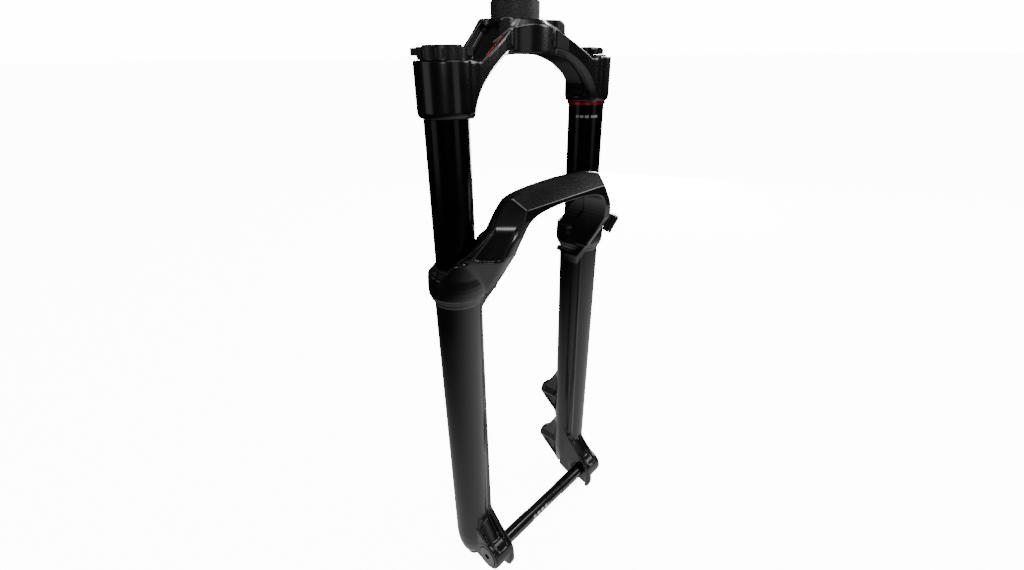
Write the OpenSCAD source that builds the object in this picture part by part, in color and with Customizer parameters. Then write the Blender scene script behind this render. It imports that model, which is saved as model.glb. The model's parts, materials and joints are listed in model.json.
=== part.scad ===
// Suspension fork for a wide wheel: single crown, two telescopic legs, through axle.
// Lengths are in millimetres. +Z is up, -Y is the front of the bicycle and -X is the rider's right.
// The origin is where the steerer axis meets the seat of the lower headset race.
// The right leg (-X) holds the damper, the left leg (+X) holds the air spring and the disc brake.

/* [Stance] */
// Distance between the axes of the two legs
stance = 175; // [170:1:180]
// How far the legs stand in front of the steerer axis
leg_forward = 12; // [11:1:13]
// How far the hub axle stands in front of the steerer axis
rake = 43; // [42:1:44]
// Height of the lower headset race above the hub axle, at full extension
axle_to_crown = 518; // [516:1:520]
// Suspension travel
travel = 100; // [80:1:100]

/* [Steerer] */
// Diameter of the steerer where the stem clamps it
steerer_top_d = 28.6; // [28.6]
// Diameter of the steerer just above the crown
steerer_base_d = 38.1; // [38.1]
// Diameter of the seat for the lower headset race
race_seat_d = 39.8; // [39.8]
// Height of the seat for the lower headset race
race_seat_h = 12.5; // [10:0.5:14]
// Length of the steerer above the crown
steerer_len = 215; // [180:5:260]
// Bore of the steerer at its top
steerer_top_bore_d = 23.6; // [23:0.2:24]

/* [Crown] */
// Diameter of the crown round each stanchion
boss_d = 42; // [41:0.5:43]
// Diameter of the crown round the steerer
socket_d = 54; // [52:1:56]
// Drop from the headset race to the top of the stanchion bosses
boss_top_drop = 28; // [27:0.5:29]
// Height of each stanchion boss
boss_h = 38.5; // [38:0.5:39]

/* [Stanchions] */
// Outer diameter of a stanchion
stanchion_d = 34; // [34]
// Wall of a stanchion
stanchion_wall = 1.6; // [1.5:0.1:1.7]
// Drop from the headset race to the bottom of the stanchions
stanchion_bottom_drop = 306; // [304:1:308]

/* [Lower legs] */
// Radial gap between a stanchion and its bushings, and round every other sliding shaft
running_gap = 0.05; // [0.03:0.01:0.08]
// Outer diameter of a lower leg just under its collar
leg_d = 40; // [39.6:0.2:40.4]
// Outer diameter of the collar that holds the wiper seal
collar_d = 49; // [48:0.5:50]
// Drop from the headset race to the rim of the collar
collar_top_drop = 188.5; // [188:0.5:190]
// Height of the collar
collar_h = 25; // [24:1:26]
// Distance between the two disc brake posts
post_spacing = 74.2; // [74.2]

/* [Hub] */
// Diameter of the through axle
axle_d = 15; // [15]
// Length of the hub between the faces it is clamped by
hub_w = 150; // [150]
// Depth of the recess that locates the hub's end cap
recess_depth = 5; // [4.6:0.2:5.4]
// Diameter of that recess
recess_d = 22; // [21:0.5:23]

/* [Hidden] */
$fn = 96;
leg_x = stance / 2;
leg_y = -leg_forward;
boss_r = boss_d / 2;
socket_r = socket_d / 2;
boss_top_z = -boss_top_drop;
boss_bottom_z = boss_top_z - boss_h;
stanchion_r = stanchion_d / 2;
stanchion_bore_r = stanchion_r - stanchion_wall;
stanchion_top_z = boss_top_z - 1;
stanchion_bottom_z = -stanchion_bottom_drop;
collar_r = collar_d / 2;
collar_top_z = -collar_top_drop;
collar_bottom_z = collar_top_z - collar_h;
leg_r = leg_d / 2;
axle_r = axle_d / 2;
axle_head_r = 11;
axle_head_seat = 5;
axle_y = -rake;
axle_z = -axle_to_crown;
hub_face_x = hub_w / 2;
lip_x = hub_face_x - recess_depth;
drop_out_x = 95;

// Sections through the inside of a lower leg, from the top down
seal_seat_r = 20.6;
seal_lip_h = 5.6;
foam_floor_z = collar_top_z - 19;
upper_bush_r = 18.4;
upper_bush_bottom_z = foam_floor_z - 16;
relief_r = 18.2;
lower_bush_r = 18.1;
lower_bush_top_z = -276;
lower_bush_bottom_z = -294;
leg_bore_r = 17.5;
leg_bore_bottom_z = stanchion_bottom_z - travel - 2;
foot_bore_r = 15;
foot_top_z = axle_z + 6;
foot_bottom_z = foot_top_z - 8;
foot_hole_r = 4.3;
foot_recess_r = 8.6;
leg_bottom_z = axle_z - 18;
leg_taper = 0.0083;

// Brake posts
post_x = 81;
post_face_y = 27;
post_z = -427;
post_hole_r = 2.5;
post_hole_depth = 18;

// Pieces inside the legs
shaft_end_z = foot_top_z;
damper_shaft_r = 5;
air_shaft_r = 6;
seal_head_top_z = stanchion_bottom_z + 22;
bumper_top_z = seal_head_top_z + 20;
cartridge_r = 14.2;
cartridge_bore_r = 12.6;
adjuster_r = 1.9;

// Hose guide: its place on the arch, and the turn that points its X away from the surface
guide_at = [80.2, -47.7, -178.2];
guide_turn = [0, 25.5, -45];
guide_screw_y = 9.5;
guide_pad_x = 2.5;
guide_thread_r = 2;

// Moves its children to the axis of a leg: side -1 is the right leg and +1 is the left leg
module at_leg(side)
{
    translate([side * leg_x, leg_y, 0]) children();
}

// A round bar between two heights
module bar(r, bottom, top)
{
    translate([0, 0, bottom]) cylinder(r = r, h = top - bottom);
}

// A tube between two heights
module tube(r, bore, bottom, top)
{
    difference() {
        bar(r, bottom, top);
        bar(bore, bottom - 1, top + 1);
    }
}

// A round bar along X between two places, at the height of the hub axle
module axle_bar(r, x0, x1)
{
    translate([x0, axle_y, axle_z]) rotate([0, 90, 0]) cylinder(r = r, h = x1 - x0);
}

// A slab seen from the front (points are [x, z]) between two depths
module front_slab(points, y0, y1)
{
    translate([0, y1, 0]) rotate([90, 0, 0]) linear_extrude(y1 - y0) polygon(points);
}

// A slab seen from the side (points are [y, z]) between two widths
module side_slab(points, x0, x1)
{
    translate([x0, 0, 0]) rotate([90, 0, 90]) linear_extrude(x1 - x0) polygon(points);
}

// A closed outline that is the same on both sides of x = 0, from its right-hand half
function both_sides(half) = concat(half, [for (i = [len(half) - 1:-1:0]) [-half[i][0], half[i][1]]]);

// ---- Steerer and crown ----

module steerer()
{
    base_r = steerer_base_d / 2;
    top_r = steerer_top_d / 2;
    bore_r = steerer_top_bore_d / 2;
    taper_start = 32;
    taper_end = 105;
    color("#26272a") rotate_extrude() polygon([
        [bore_r, steerer_len], [top_r - 0.6, steerer_len], [top_r, steerer_len - 0.6],
        [top_r, taper_end], [base_r, taper_start], [base_r, race_seat_h + 0.8],
        [race_seat_d / 2, race_seat_h], [race_seat_d / 2, 0], [base_r, 0],
        [base_r, -23.5], [base_r - 5, -23.5], [base_r - 5, taper_start], [bore_r, taper_end]
    ]);
}

// Half of the crown's front view: top plate, sloping arm, boss, and the arch under it
crown_front = [
    [33, 0], [37, -1.5], [67, -24], [69, boss_top_z], [leg_x + boss_r, boss_top_z],
    [leg_x + boss_r, boss_bottom_z], [74, boss_bottom_z], [72, -61], [68.5, -53], [63, -45.5],
    [53.5, -37], [41, -29.5], [32, -26], [22, -24.5]
];

// Plan of the crown: socket, bosses and the arms that join them
module crown_plan()
{
    circle(r = socket_r);
    for (side = [-1, 1]) translate([side * leg_x, leg_y]) circle(r = boss_r);
    polygon(both_sides([[0, -socket_r], [12, -28.5], [leg_x - 4, leg_y - 17], [leg_x - 4, leg_y + 14],
        [66, -3], [42, 3], [24, 13], [12, 24.2], [0, 24.2]]));
}

// Plan of the pocket in the top of one arm
module arm_pocket_plan()
{
    polygon([[31, -12], [38, -20], [62, -24], [65, -17], [65, -9], [58, -7], [40, -3], [32, -3]]);
}

module crown()
{
    color("#17181a") difference() {
        intersection() {
            translate([0, 0, boss_bottom_z]) linear_extrude(-boss_bottom_z) crown_plan();
            front_slab(both_sides(crown_front), -50, 40);
        }
        // the front of the arms is lower than the back
        for (side = [0, 1]) mirror([side, 0, 0])
            front_slab([[18, 1], [20, -4.5], [26, -6], [67, -27.5], [69, 1]], -50, -15);
        // bevel round the top of the socket
        rotate_extrude() polygon([[race_seat_d / 2 + 1.6, 1], [race_seat_d / 2 + 1.6, 0], [socket_r + 1, -4.5],
            [socket_r + 30, -4.5], [socket_r + 30, 1]]);
        // bores for the steerer and the stanchions
        bar(steerer_base_d / 2, -80, 10);
        for (side = [-1, 1]) {
            at_leg(side) bar(stanchion_r, boss_bottom_z - 1, boss_top_z + 1);
            // rounded lower edge of each boss
            at_leg(side) rotate_extrude() polygon([[boss_r - 3, boss_bottom_z - 1],
                [boss_r - 3, boss_bottom_z], [boss_r - 0.8, boss_bottom_z + 1.2],
                [boss_r, boss_bottom_z + 3.5], [boss_r + 2, boss_bottom_z + 3.5],
                [boss_r + 2, boss_bottom_z - 1]]);
        }
        // lightening pockets: in the top of each arm, and under it from the front
        for (side = [0, 1]) mirror([side, 0, 0]) {
            intersection() {
                translate([0, 0, -60]) linear_extrude(70) arm_pocket_plan();
                front_slab([[28, 4], [28, -9], [41, -15], [66, -33], [70, -20], [70, 4]], -40, 30);
            }
            front_slab([[34, -32], [42, -30.5], [62, -45], [68, -54], [68, -70], [34, -70]], -18, 2);
        }
    }
}

// ---- Stanchions ----

module stanchion_tube(side)
{
    at_leg(side) difference() {
        tube(stanchion_r, stanchion_bore_r, stanchion_bottom_z, stanchion_top_z);
        // chamfer at the lower end, which leads the tube into its bushings
        rotate_extrude() polygon([[stanchion_r - 0.8, stanchion_bottom_z - 1],
            [stanchion_r - 0.8, stanchion_bottom_z], [stanchion_r, stanchion_bottom_z + 2.5],
            [stanchion_r + 1, stanchion_bottom_z + 2.5], [stanchion_r + 1, stanchion_bottom_z - 1]]);
    }
}

module stanchion_right()
{
    color("#101113") stanchion_tube(-1);
}

module stanchion_left()
{
    color("#101113") stanchion_tube(1);
}

module stanchion_ring()
{
    color("#b3202c") at_leg(1) tube(stanchion_r + 1.1, stanchion_r, boss_bottom_z - 2.6, boss_bottom_z - 0.1);
}

// ---- Damper, right leg ----

knob_floor_z = boss_top_z + 2.3;
knob_skirt_r = 16.4;

module damper_top_cap()
{
    color("#1b1c1f") at_leg(-1) difference() {
        union() {
            bar(stanchion_bore_r, boss_top_z - 20, boss_top_z);
            bar(knob_skirt_r - 0.4, boss_top_z, boss_top_z + 1.4);
            bar(15, boss_top_z, knob_floor_z - 0.3);
            bar(cartridge_bore_r, boss_top_z - 34, boss_top_z - 19);
        }
        bar(3 + running_gap, boss_top_z - 40, 0);
    }
}

module compression_knob()
{
    knob_r = 18;
    grips = 24;
    color("#1d1e21") at_leg(-1) difference() {
        union() {
            bar(knob_r, knob_floor_z, knob_floor_z + 6.2);
            bar(knob_r - 4, knob_floor_z, knob_floor_z + 7.4);
            tube(knob_r - 0.3, knob_skirt_r, boss_top_z + 0.35, knob_floor_z + 1);
            // a finger tab at each side
            for (turn = [134, 314]) rotate(turn)
                translate([knob_r - 2, -4, knob_floor_z + 0.6]) cube([5.6, 8, 5]);
        }
        for (i = [0:grips - 1]) rotate((i + 0.5) * 360 / grips)
            translate([knob_r + 0.5, 0, knob_floor_z - 1]) cylinder(r = 1.1, h = 6, $fn = 24);
        bar(3, knob_floor_z - 1, knob_floor_z + 5);
        // shallow dish and screwdriver slot in the middle
        bar(8, knob_floor_z + 6.6, knob_floor_z + 9);
    }
}

module compression_adjuster()
{
    color("#8d9096") at_leg(-1) union() {
        bar(3, boss_top_z - 46, knob_floor_z + 5);
        bar(6, boss_top_z - 50, boss_top_z - 46);
    }
}

module compression_piston()
{
    ports = 6;
    color("#a9762b") at_leg(-1) difference() {
        bar(cartridge_bore_r, boss_top_z - 64, boss_top_z - 52);
        for (i = [0:ports - 1]) rotate(i * 360 / ports)
            translate([8, 0, boss_top_z - 70]) cylinder(r = 1.6, h = 30);
    }
}

module damper_cartridge()
{
    color("#9a9da3") at_leg(-1) tube(cartridge_r, cartridge_bore_r, seal_head_top_z, boss_top_z - 21);
}

module damper_seal_head()
{
    color("#55585e") at_leg(-1) difference() {
        union() {
            bar(stanchion_bore_r, stanchion_bottom_z + 4, seal_head_top_z);
            bar(cartridge_bore_r, seal_head_top_z, seal_head_top_z + 6);
        }
        bar(damper_shaft_r + running_gap, stanchion_bottom_z - 1, seal_head_top_z + 9);
    }
}

module damper_shaft()
{
    color("#c9ccd1") at_leg(-1) difference() {
        bar(damper_shaft_r, shaft_end_z, bumper_top_z + 22);
        bar(adjuster_r + running_gap, shaft_end_z - 1, bumper_top_z + 30);
        bar(4, shaft_end_z - 1, shaft_end_z + 14);
    }
}

module rebound_piston()
{
    ports = 6;
    color("#c8a24a") at_leg(-1) difference() {
        bar(cartridge_bore_r - running_gap, bumper_top_z + 2, bumper_top_z + 14);
        bar(damper_shaft_r, bumper_top_z, bumper_top_z + 20);
        for (i = [0:ports - 1]) rotate(i * 360 / ports)
            translate([8.8, 0, bumper_top_z]) cylinder(r = 1.5, h = 20);
    }
}

module rebound_shims()
{
    color("#d6d8dc") at_leg(-1) for (i = [0:3])
        tube(10.5 - i * 1.2, damper_shaft_r, bumper_top_z + 14 + i * 0.6, bumper_top_z + 14.4 + i * 0.6);
}

module rebound_adjuster()
{
    color("#b9bcc2") at_leg(-1) bar(adjuster_r, leg_bottom_z - 1, bumper_top_z + 16);
}

module rebound_knob()
{
    knob_r = 7.6;
    grips = 12;
    color("#1d1e21") at_leg(-1) difference() {
        rotate_extrude() polygon([[adjuster_r, leg_bottom_z + 2.2], [knob_r, leg_bottom_z + 2.2],
            [knob_r, leg_bottom_z - 5], [knob_r - 1.5, leg_bottom_z - 7], [0, leg_bottom_z - 7],
            [0, leg_bottom_z - 1], [adjuster_r, leg_bottom_z - 1]]);
        for (i = [0:grips - 1]) rotate(i * 360 / grips)
            translate([knob_r + 0.4, 0, leg_bottom_z - 8]) cylinder(r = 0.9, h = 8, $fn = 24);
    }
}

// ---- Air spring, left leg ----

module air_top_cap()
{
    flats = 8;
    color("#1b1c1f") at_leg(1) difference() {
        union() {
            bar(stanchion_bore_r, boss_top_z - 22, boss_top_z);
            bar(stanchion_r - 1, boss_top_z, boss_top_z + 1.5);
            bar(4.2, boss_top_z, boss_top_z + 5);
            bar(4, boss_top_z - 30, boss_top_z - 22);
        }
        bar(2.6, boss_top_z - 40, boss_top_z + 9);
        // notches for the cap tool
        for (i = [0:flats - 1]) rotate(i * 360 / flats)
            translate([stanchion_r - 1, 0, boss_top_z + 0.4]) cylinder(r = 1.6, h = 3, $fn = 32);
    }
}

module air_valve_core()
{
    color("#c9a14e") at_leg(1) union() {
        bar(2.6, boss_top_z - 16, boss_top_z + 3);
        bar(0.9, boss_top_z + 3, boss_top_z + 4.8);
    }
}

module air_valve_cover()
{
    cover_r = 13.3;
    bottom = boss_top_z + 1.8;
    spokes = 6;
    color("#1f2023") at_leg(1) difference() {
        rotate_extrude() polygon([[4.3, bottom], [cover_r, bottom], [cover_r, bottom + 4.2],
            [cover_r - 1.4, bottom + 5.6], [6, bottom + 6.4], [0, bottom + 6.4], [0, bottom + 4.4],
            [4.3, bottom + 4.4]]);
        // finger scallops between the spokes
        for (i = [0:spokes - 1]) rotate((i + 0.5) * 360 / spokes)
            translate([cover_r + 0.3, 0, bottom - 1]) cylinder(r = 3.6, h = 9, $fn = 48);
    }
}

module volume_spacers()
{
    color("#8e2a2f") at_leg(1) for (i = [0:1])
        tube(12.8, 4, boss_top_z - 36.5 - 14 * i, boss_top_z - 22.7 - 14 * i);
}

module air_piston()
{
    color("#caccd2") at_leg(1) difference() {
        bar(stanchion_bore_r - running_gap, bumper_top_z + 0.3, bumper_top_z + 16.3);
        tube(20, 13, bumper_top_z + 6.3, bumper_top_z + 10.3);
        bar(air_shaft_r, bumper_top_z - 5, bumper_top_z + 11);
        bar(9, bumper_top_z + 12.3, bumper_top_z + 20);
    }
}

module air_piston_seal()
{
    color("#2a2320") at_leg(1) tube(stanchion_bore_r - running_gap, 13, bumper_top_z + 6.4, bumper_top_z + 10.2);
}

module air_shaft()
{
    color("#c9ccd1") at_leg(1) difference() {
        bar(air_shaft_r, shaft_end_z, bumper_top_z + 11);
        bar(4, shaft_end_z - 1, shaft_end_z + 14);
        bar(3.4, shaft_end_z + 20, bumper_top_z + 6);
    }
}

module top_out_bumper()
{
    color("#3a3c40") at_leg(1) tube(9, air_shaft_r + 0.4, seal_head_top_z, bumper_top_z);
}

module air_seal_head()
{
    color("#55585e") at_leg(1) tube(stanchion_bore_r, air_shaft_r + running_gap, stanchion_bottom_z + 4, seal_head_top_z);
}

module retaining_rings()
{
    color("#8b8e94") for (side = [-1, 1]) at_leg(side) difference() {
        tube(stanchion_bore_r, stanchion_bore_r - 2.6, stanchion_bottom_z + 2.6, stanchion_bottom_z + 3.8);
        translate([-3, 8, stanchion_bottom_z]) cube([6, 12, 6]);
    }
}

// ---- Lower legs ----

// A leg is slightly thinner towards its foot
function tapered_leg_r(z) = leg_r + 0.2 - leg_taper * (collar_bottom_z - z);

// Outside of one leg and its collar, turned about the leg's axis
leg_outline = [
    [0, collar_top_z], [seal_seat_r + 1.6, collar_top_z], [collar_r - 0.8, collar_top_z - 4],
    [collar_r, collar_top_z - 8], [collar_r, collar_top_z - 16], [collar_r - 1.6, collar_top_z - 22.5],
    [leg_r + 1.2, collar_bottom_z + 0.6], [leg_r + 0.8, collar_bottom_z - 1], [leg_r + 0.2, collar_bottom_z - 2.6],
    [tapered_leg_r(axle_z + 15), axle_z + 15], [leg_r - 3.4, axle_z + 2], [leg_r - 4.6, axle_z - 4],
    [leg_r - 6.4, axle_z - 10], [leg_r - 8.2, axle_z - 14.5], [leg_r - 9.8, leg_bottom_z], [0, leg_bottom_z]
];

// Inside of one leg: seats for the seal, foam ring and bushings, then the bore and the foot
leg_bore_outline = [
    [0, collar_top_z + 2], [seal_seat_r, collar_top_z + 2], [seal_seat_r, foam_floor_z],
    [upper_bush_r, foam_floor_z], [upper_bush_r, upper_bush_bottom_z], [relief_r, upper_bush_bottom_z],
    [relief_r, lower_bush_top_z], [lower_bush_r, lower_bush_top_z], [lower_bush_r, lower_bush_bottom_z],
    [leg_bore_r, lower_bush_bottom_z], [leg_bore_r, leg_bore_bottom_z],
    [foot_bore_r, leg_bore_bottom_z - 14], [foot_bore_r, foot_top_z + 8], [8, foot_top_z],
    [foot_hole_r, foot_top_z], [foot_hole_r, foot_bottom_z], [foot_recess_r, foot_bottom_z],
    [foot_recess_r, leg_bottom_z - 2], [0, leg_bottom_z - 2]
];

// Half of the arch's front view, and the range of depths it takes at each height
arch_front = [
    [30, -122.5], [56, -124.5], [66, -129.5], [83, -157], [98, -170], [110, -181], [112, -188],
    [112, -202], [108, -208], [100, -232], [67, -232], [66, -195], [64.5, -176], [60, -159], [52, -146.5],
    [44, -141], [24, -138.5]
];
arch_side = [
    [-45.5, -122.5], [-61, -135], [-62.5, -143], [-62, -155.5], [-58.5, -169.5], [-47.5, -188.5],
    [-33, -210.5], [-26.5, -219.5], [-20, -232], [-8, -232], [-8, -184], [-24, -178], [-34, -167],
    [-39, -149], [-42, -122.5]
];
// Side view of the arch's inner wall, which reaches back beside the stanchion
arch_wall_side = [
    [-40, -149], [-27, -154], [-18, -161], [-9, -172], [-4, -184], [-4, -205], [-40, -205]
];
// Side view of the part of a collar's rim that rises in front of the seal
collar_rise_side = [[-18.5, -192], [-18.5, -188.5], [-28.5, -175], [-40, -175], [-40, -192]];
// The flat faces at the arch's outer front corners: a point of each, and the turn of +X onto its normal
arch_faces = [
    [[54.8, -61, -134.8], [0, -24.5, -45.4]],
    [[67.1, -62, -155.3], [0, -6.9, -45]],
    [[73.4, -47.5, -188.5], [0, 25.5, -45]]
];
// Recess in the middle one of those faces, as [y, z] on the face
arch_recess = [[-1.5, 12], [4, 0], [10.5, -14], [13, -19], [27, -19], [22, -10], [17, 0], [12, 12]];

module arch()
{
    difference() {
        intersection() {
            front_slab(both_sides(arch_front), -80, 0);
            union() {
                side_slab(arch_side, -130, 130);
                side_slab(arch_wall_side, -67, 67);
            }
        }
        for (side = [0, 1]) mirror([side, 0, 0]) {
            for (face = arch_faces) translate(face[0]) rotate(face[1])
                translate([0, -90, -90]) cube([90, 180, 180]);
            translate(arch_faces[1][0]) rotate(arch_faces[1][1]) side_slab(arch_recess, -3, 1);
        }
    }
}

// The ridge down the inner front of each leg, which grows into the dropout
module leg_ridge()
{
    hull() {
        translate([73.5, -25.5, -231]) sphere(r = 1, $fn = 16);
        translate([78, -21, -231]) cylinder(r = 5, h = 2, $fn = 32);
        translate([72.8, -26.2, -468]) cylinder(r = 1, h = 2, $fn = 16);
        translate([80, -19, -468]) cylinder(r = 7, h = 2, $fn = 32);
    }
}

// Side views of the dropout's parts, measured from the axle: inner cheek, web and outer rib
cheek_side = [
    [34, 80], [27, 58], [24, 50], [-11.5, 9], [-16.5, -4], [-17, -14], [-13.5, -22], [-7, -23],
    [8, -19.5], [20, -18], [30, -14]
];
web_side = [
    [31, 60], [22, 48], [8, 33], [-7, 11], [-14, 4], [-15, -6], [-9, -14], [8, -17.5], [20, -16.5], [30, -12]
];
rib_side = [
    [31, 48], [21, 43], [16.5, 31], [-11, 9], [-15.5, -2], [-11, -12], [-2, -16], [10, -16],
    [20, -13], [29, -7]
];
// The space in front of the web, between the cheek and the rib
pocket_side = [[24, 60], [17, 42], [7.8, 29.6], [-4.5, 9], [-30, 9], [-30, 60]];

module dropout()
{
    difference() {
        union() {
            translate([0, axle_y, axle_z]) {
                side_slab(cheek_side, lip_x, lip_x + 6);
                side_slab(web_side, lip_x + 5, drop_out_x - 4);
                side_slab(rib_side, drop_out_x - 5, drop_out_x);
            }
            axle_bar(16, lip_x, drop_out_x + 1);
        }
        // the recess for the hub's end cap, open below
        axle_bar(recess_d / 2, lip_x - 1, hub_face_x);
        translate([lip_x - 1, axle_y - recess_d / 2, axle_z - 40]) cube([recess_depth + 1, recess_d, 40]);
        translate([0, axle_y, axle_z]) side_slab(pocket_side, lip_x + 7, drop_out_x - 6);
    }
}

// One brake post: a sloping web that ends in a round boss with a flat face
module brake_post(drop)
{
    translate([0, 0, -drop]) union() {
        translate([post_x, 0, post_z]) rotate([-90, 0, 0]) cylinder(r = 6.5, h = post_face_y);
        side_slab([[4, -393], [10, -397], [24.5, -418], [24.5, -434], [2, -453], [-6, -460], [-6, -393]],
            post_x - 4.5, post_x + 4.5);
    }
}

module lower_legs()
{
    color("#131416") difference() {
        union() {
            for (side = [-1, 1]) at_leg(side) rotate_extrude() polygon(leg_outline);
            arch();
            intersection() {
                for (side = [-1, 1]) at_leg(side) bar(collar_r - 0.3, collar_top_z - 3, -170);
                side_slab(collar_rise_side, -130, 130);
            }
            for (side = [0, 1]) mirror([side, 0, 0]) {
                leg_ridge();
                dropout();
            }
            for (drop = [0, post_spacing]) brake_post(drop);
            // pad for the hose guide, and the casting nub at the back of the left leg
            translate(guide_at) rotate(guide_turn) translate([-3, guide_screw_y, 0])
                rotate([0, 90, 0]) cylinder(r = 5, h = guide_pad_x + 3);
            translate([leg_x - 8.5, leg_y + 15, -222]) rotate([-90, 0, 0]) cylinder(r = 3, h = 7);
        }
        for (side = [-1, 1]) at_leg(side) rotate_extrude() polygon(leg_bore_outline);
        // room for the stanchions and the seals beside the arch
        for (side = [-1, 1]) at_leg(side) {
            bar(stanchion_r + 2.2, collar_top_z - 1, -100);
            bar(seal_seat_r + 1.3, collar_top_z, collar_top_z + seal_lip_h + 0.6);
        }
        // the axle's bore, its thread in the left leg and the seat for its head in the right leg
        axle_bar(axle_r + running_gap, -drop_out_x - 5, drop_out_x + 5);
        axle_bar(axle_head_r + 0.5, -drop_out_x - 5, -drop_out_x + axle_head_seat);
        // threaded holes in the brake posts
        for (drop = [0, post_spacing]) translate([post_x, post_face_y + 1, post_z - drop])
            rotate([90, 0, 0]) cylinder(r = post_hole_r, h = post_hole_depth + 1);
        // threaded hole for the hose guide's screw
        translate(guide_at) rotate(guide_turn) translate([guide_pad_x - 9, guide_screw_y, 0])
            rotate([0, 90, 0]) cylinder(r = guide_thread_r, h = 12);
    }
}

module upper_bushings()
{
    color("#b7a26a") for (side = [-1, 1]) at_leg(side)
        tube(upper_bush_r, stanchion_r + running_gap, upper_bush_bottom_z, foam_floor_z - 0.5);
}

module lower_bushings()
{
    color("#b7a26a") for (side = [-1, 1]) at_leg(side)
        tube(lower_bush_r, stanchion_r + running_gap, lower_bush_bottom_z, lower_bush_top_z);
}

// One wiper seal: body in the collar, flange, and ribs that narrow to the wiping lip
module wiper_seal(side)
{
    lip_r = stanchion_r + running_gap;
    color("#2b2c2f") at_leg(side) rotate_extrude() polygon([
        [lip_r, collar_top_z - 11], [seal_seat_r, collar_top_z - 11], [seal_seat_r, collar_top_z],
        [seal_seat_r + 0.9, collar_top_z], [seal_seat_r + 0.9, collar_top_z + 1.2],
        [seal_seat_r - 0.4, collar_top_z + 1.5], [seal_seat_r - 0.4, collar_top_z + 2],
        [seal_seat_r, collar_top_z + 2.2], [seal_seat_r, collar_top_z + 3.2],
        [seal_seat_r - 1.7, collar_top_z + 3.5], [seal_seat_r - 1.7, collar_top_z + 4.4],
        [seal_seat_r - 1.2, collar_top_z + 4.6], [lip_r + 0.6, collar_top_z + seal_lip_h],
        [lip_r, collar_top_z + seal_lip_h]
    ]);
}

module wiper_seal_right()
{
    wiper_seal(-1);
}

module wiper_seal_left()
{
    wiper_seal(1);
}

// The coiled rings that press the lower lips of the seals against the stanchions
module garter_springs()
{
    color("#c4c7cc") for (side = [-1, 1]) at_leg(side)
        tube(stanchion_r + 2, stanchion_r + 1, collar_top_z - 12.4, collar_top_z - 11.2);
}

module foam_rings()
{
    color("#6a5a3a") for (side = [-1, 1]) at_leg(side)
        tube(seal_seat_r - 0.2, stanchion_r + 0.3, foam_floor_z + 0.1, collar_top_z - 12.6);
}

// A foot bolt: head in the recess under the leg and shank in the end of the shaft
module foot_bolt(side, bore)
{
    at_leg(side) difference() {
        union() {
            bar(4, foot_bottom_z - 1.5, shaft_end_z + 12);
            bar(7.4, foot_bottom_z - 7, foot_bottom_z - 1.5);
        }
        if (bore > 0) bar(bore, foot_bottom_z - 10, shaft_end_z + 20);
        if (bore == 0) translate([0, 0, foot_bottom_z - 8]) cylinder(r = 2.9, h = 5, $fn = 6);
    }
}

module damper_foot_bolt()
{
    color("#33353a") foot_bolt(-1, adjuster_r + running_gap);
}

module air_foot_bolt()
{
    color("#33353a") foot_bolt(1, 0);
}

module crush_washers()
{
    color("#b08a4a") for (side = [-1, 1]) at_leg(side) tube(7.2, 4.05, foot_bottom_z - 1.5, foot_bottom_z);
}

// ---- Hose guide and through axle ----

module hose_guide()
{
    plate_x = guide_pad_x + 0.05;
    tube_x = 7.4;
    tube_r = 4.3;
    color("#1a1b1e") translate(guide_at) rotate(guide_turn) difference() {
        union() {
            translate([plate_x, -2.5, -4.5]) cube([2.2, guide_screw_y + 2.5, 9]);
            translate([plate_x, guide_screw_y, 0]) rotate([0, 90, 0]) cylinder(r = 4.5, h = 2.2);
            translate([tube_x, 0, -9]) cylinder(r = tube_r, h = 18);
            translate([plate_x, -2.5, -9]) cube([tube_x - plate_x, 5, 18]);
        }
        translate([tube_x, 0, -10]) cylinder(r = 2.7, h = 20);
        // slit that lets the hose in
        translate([tube_x, -tube_r - 1, -10]) cube([1.1, tube_r + 1, 20]);
        translate([0, guide_screw_y, 0]) rotate([0, 90, 0]) cylinder(r = guide_thread_r + 0.1, h = 9);
    }
}

module hose_guide_screw()
{
    head_x = guide_pad_x + 2.3;
    color("#0f1012") translate(guide_at) rotate(guide_turn) translate([0, guide_screw_y, 0])
        rotate([0, 90, 0]) difference() {
            union() {
                translate([0, 0, guide_pad_x - 8]) cylinder(r = guide_thread_r, h = head_x - guide_pad_x + 9);
                translate([0, 0, head_x]) cylinder(r = 3.4, h = 2.6);
            }
            translate([0, 0, head_x + 1.1]) cylinder(r = 1.5, h = 3, $fn = 6);
        }
}

module through_axle()
{
    grip_x = 28;
    color("#141517") difference() {
        union() {
            axle_bar(axle_r, -drop_out_x + 3, -grip_x);
            axle_bar(axle_r - 0.5, -grip_x, grip_x);
            axle_bar(axle_r, grip_x, drop_out_x - 4);
            axle_bar(axle_head_r, -drop_out_x - 1.5, -drop_out_x + axle_head_seat - 0.1);
        }
        // hexagon socket for the key, and the hollow core
        translate([-drop_out_x - 3, axle_y, axle_z]) rotate([0, 90, 0]) cylinder(r = 3.5, h = 11, $fn = 6);
        axle_bar(4.6, -drop_out_x + 14, drop_out_x);
    }
}

steerer();
crown();
stanchion_right();
stanchion_left();
stanchion_ring();
damper_top_cap();
compression_knob();
compression_adjuster();
compression_piston();
damper_cartridge();
damper_seal_head();
damper_shaft();
rebound_piston();
rebound_shims();
rebound_adjuster();
rebound_knob();
air_top_cap();
air_valve_core();
air_valve_cover();
volume_spacers();
air_piston();
air_piston_seal();
air_shaft();
top_out_bumper();
air_seal_head();
retaining_rings();
lower_legs();
upper_bushings();
lower_bushings();
wiper_seal_right();
wiper_seal_left();
garter_springs();
foam_rings();
damper_foot_bolt();
air_foot_bolt();
crush_washers();
hose_guide();
hose_guide_screw();
through_axle();
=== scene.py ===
import json
import math

import bpy
import numpy as np
import openvdb
from mathutils import Matrix, Vector


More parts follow.
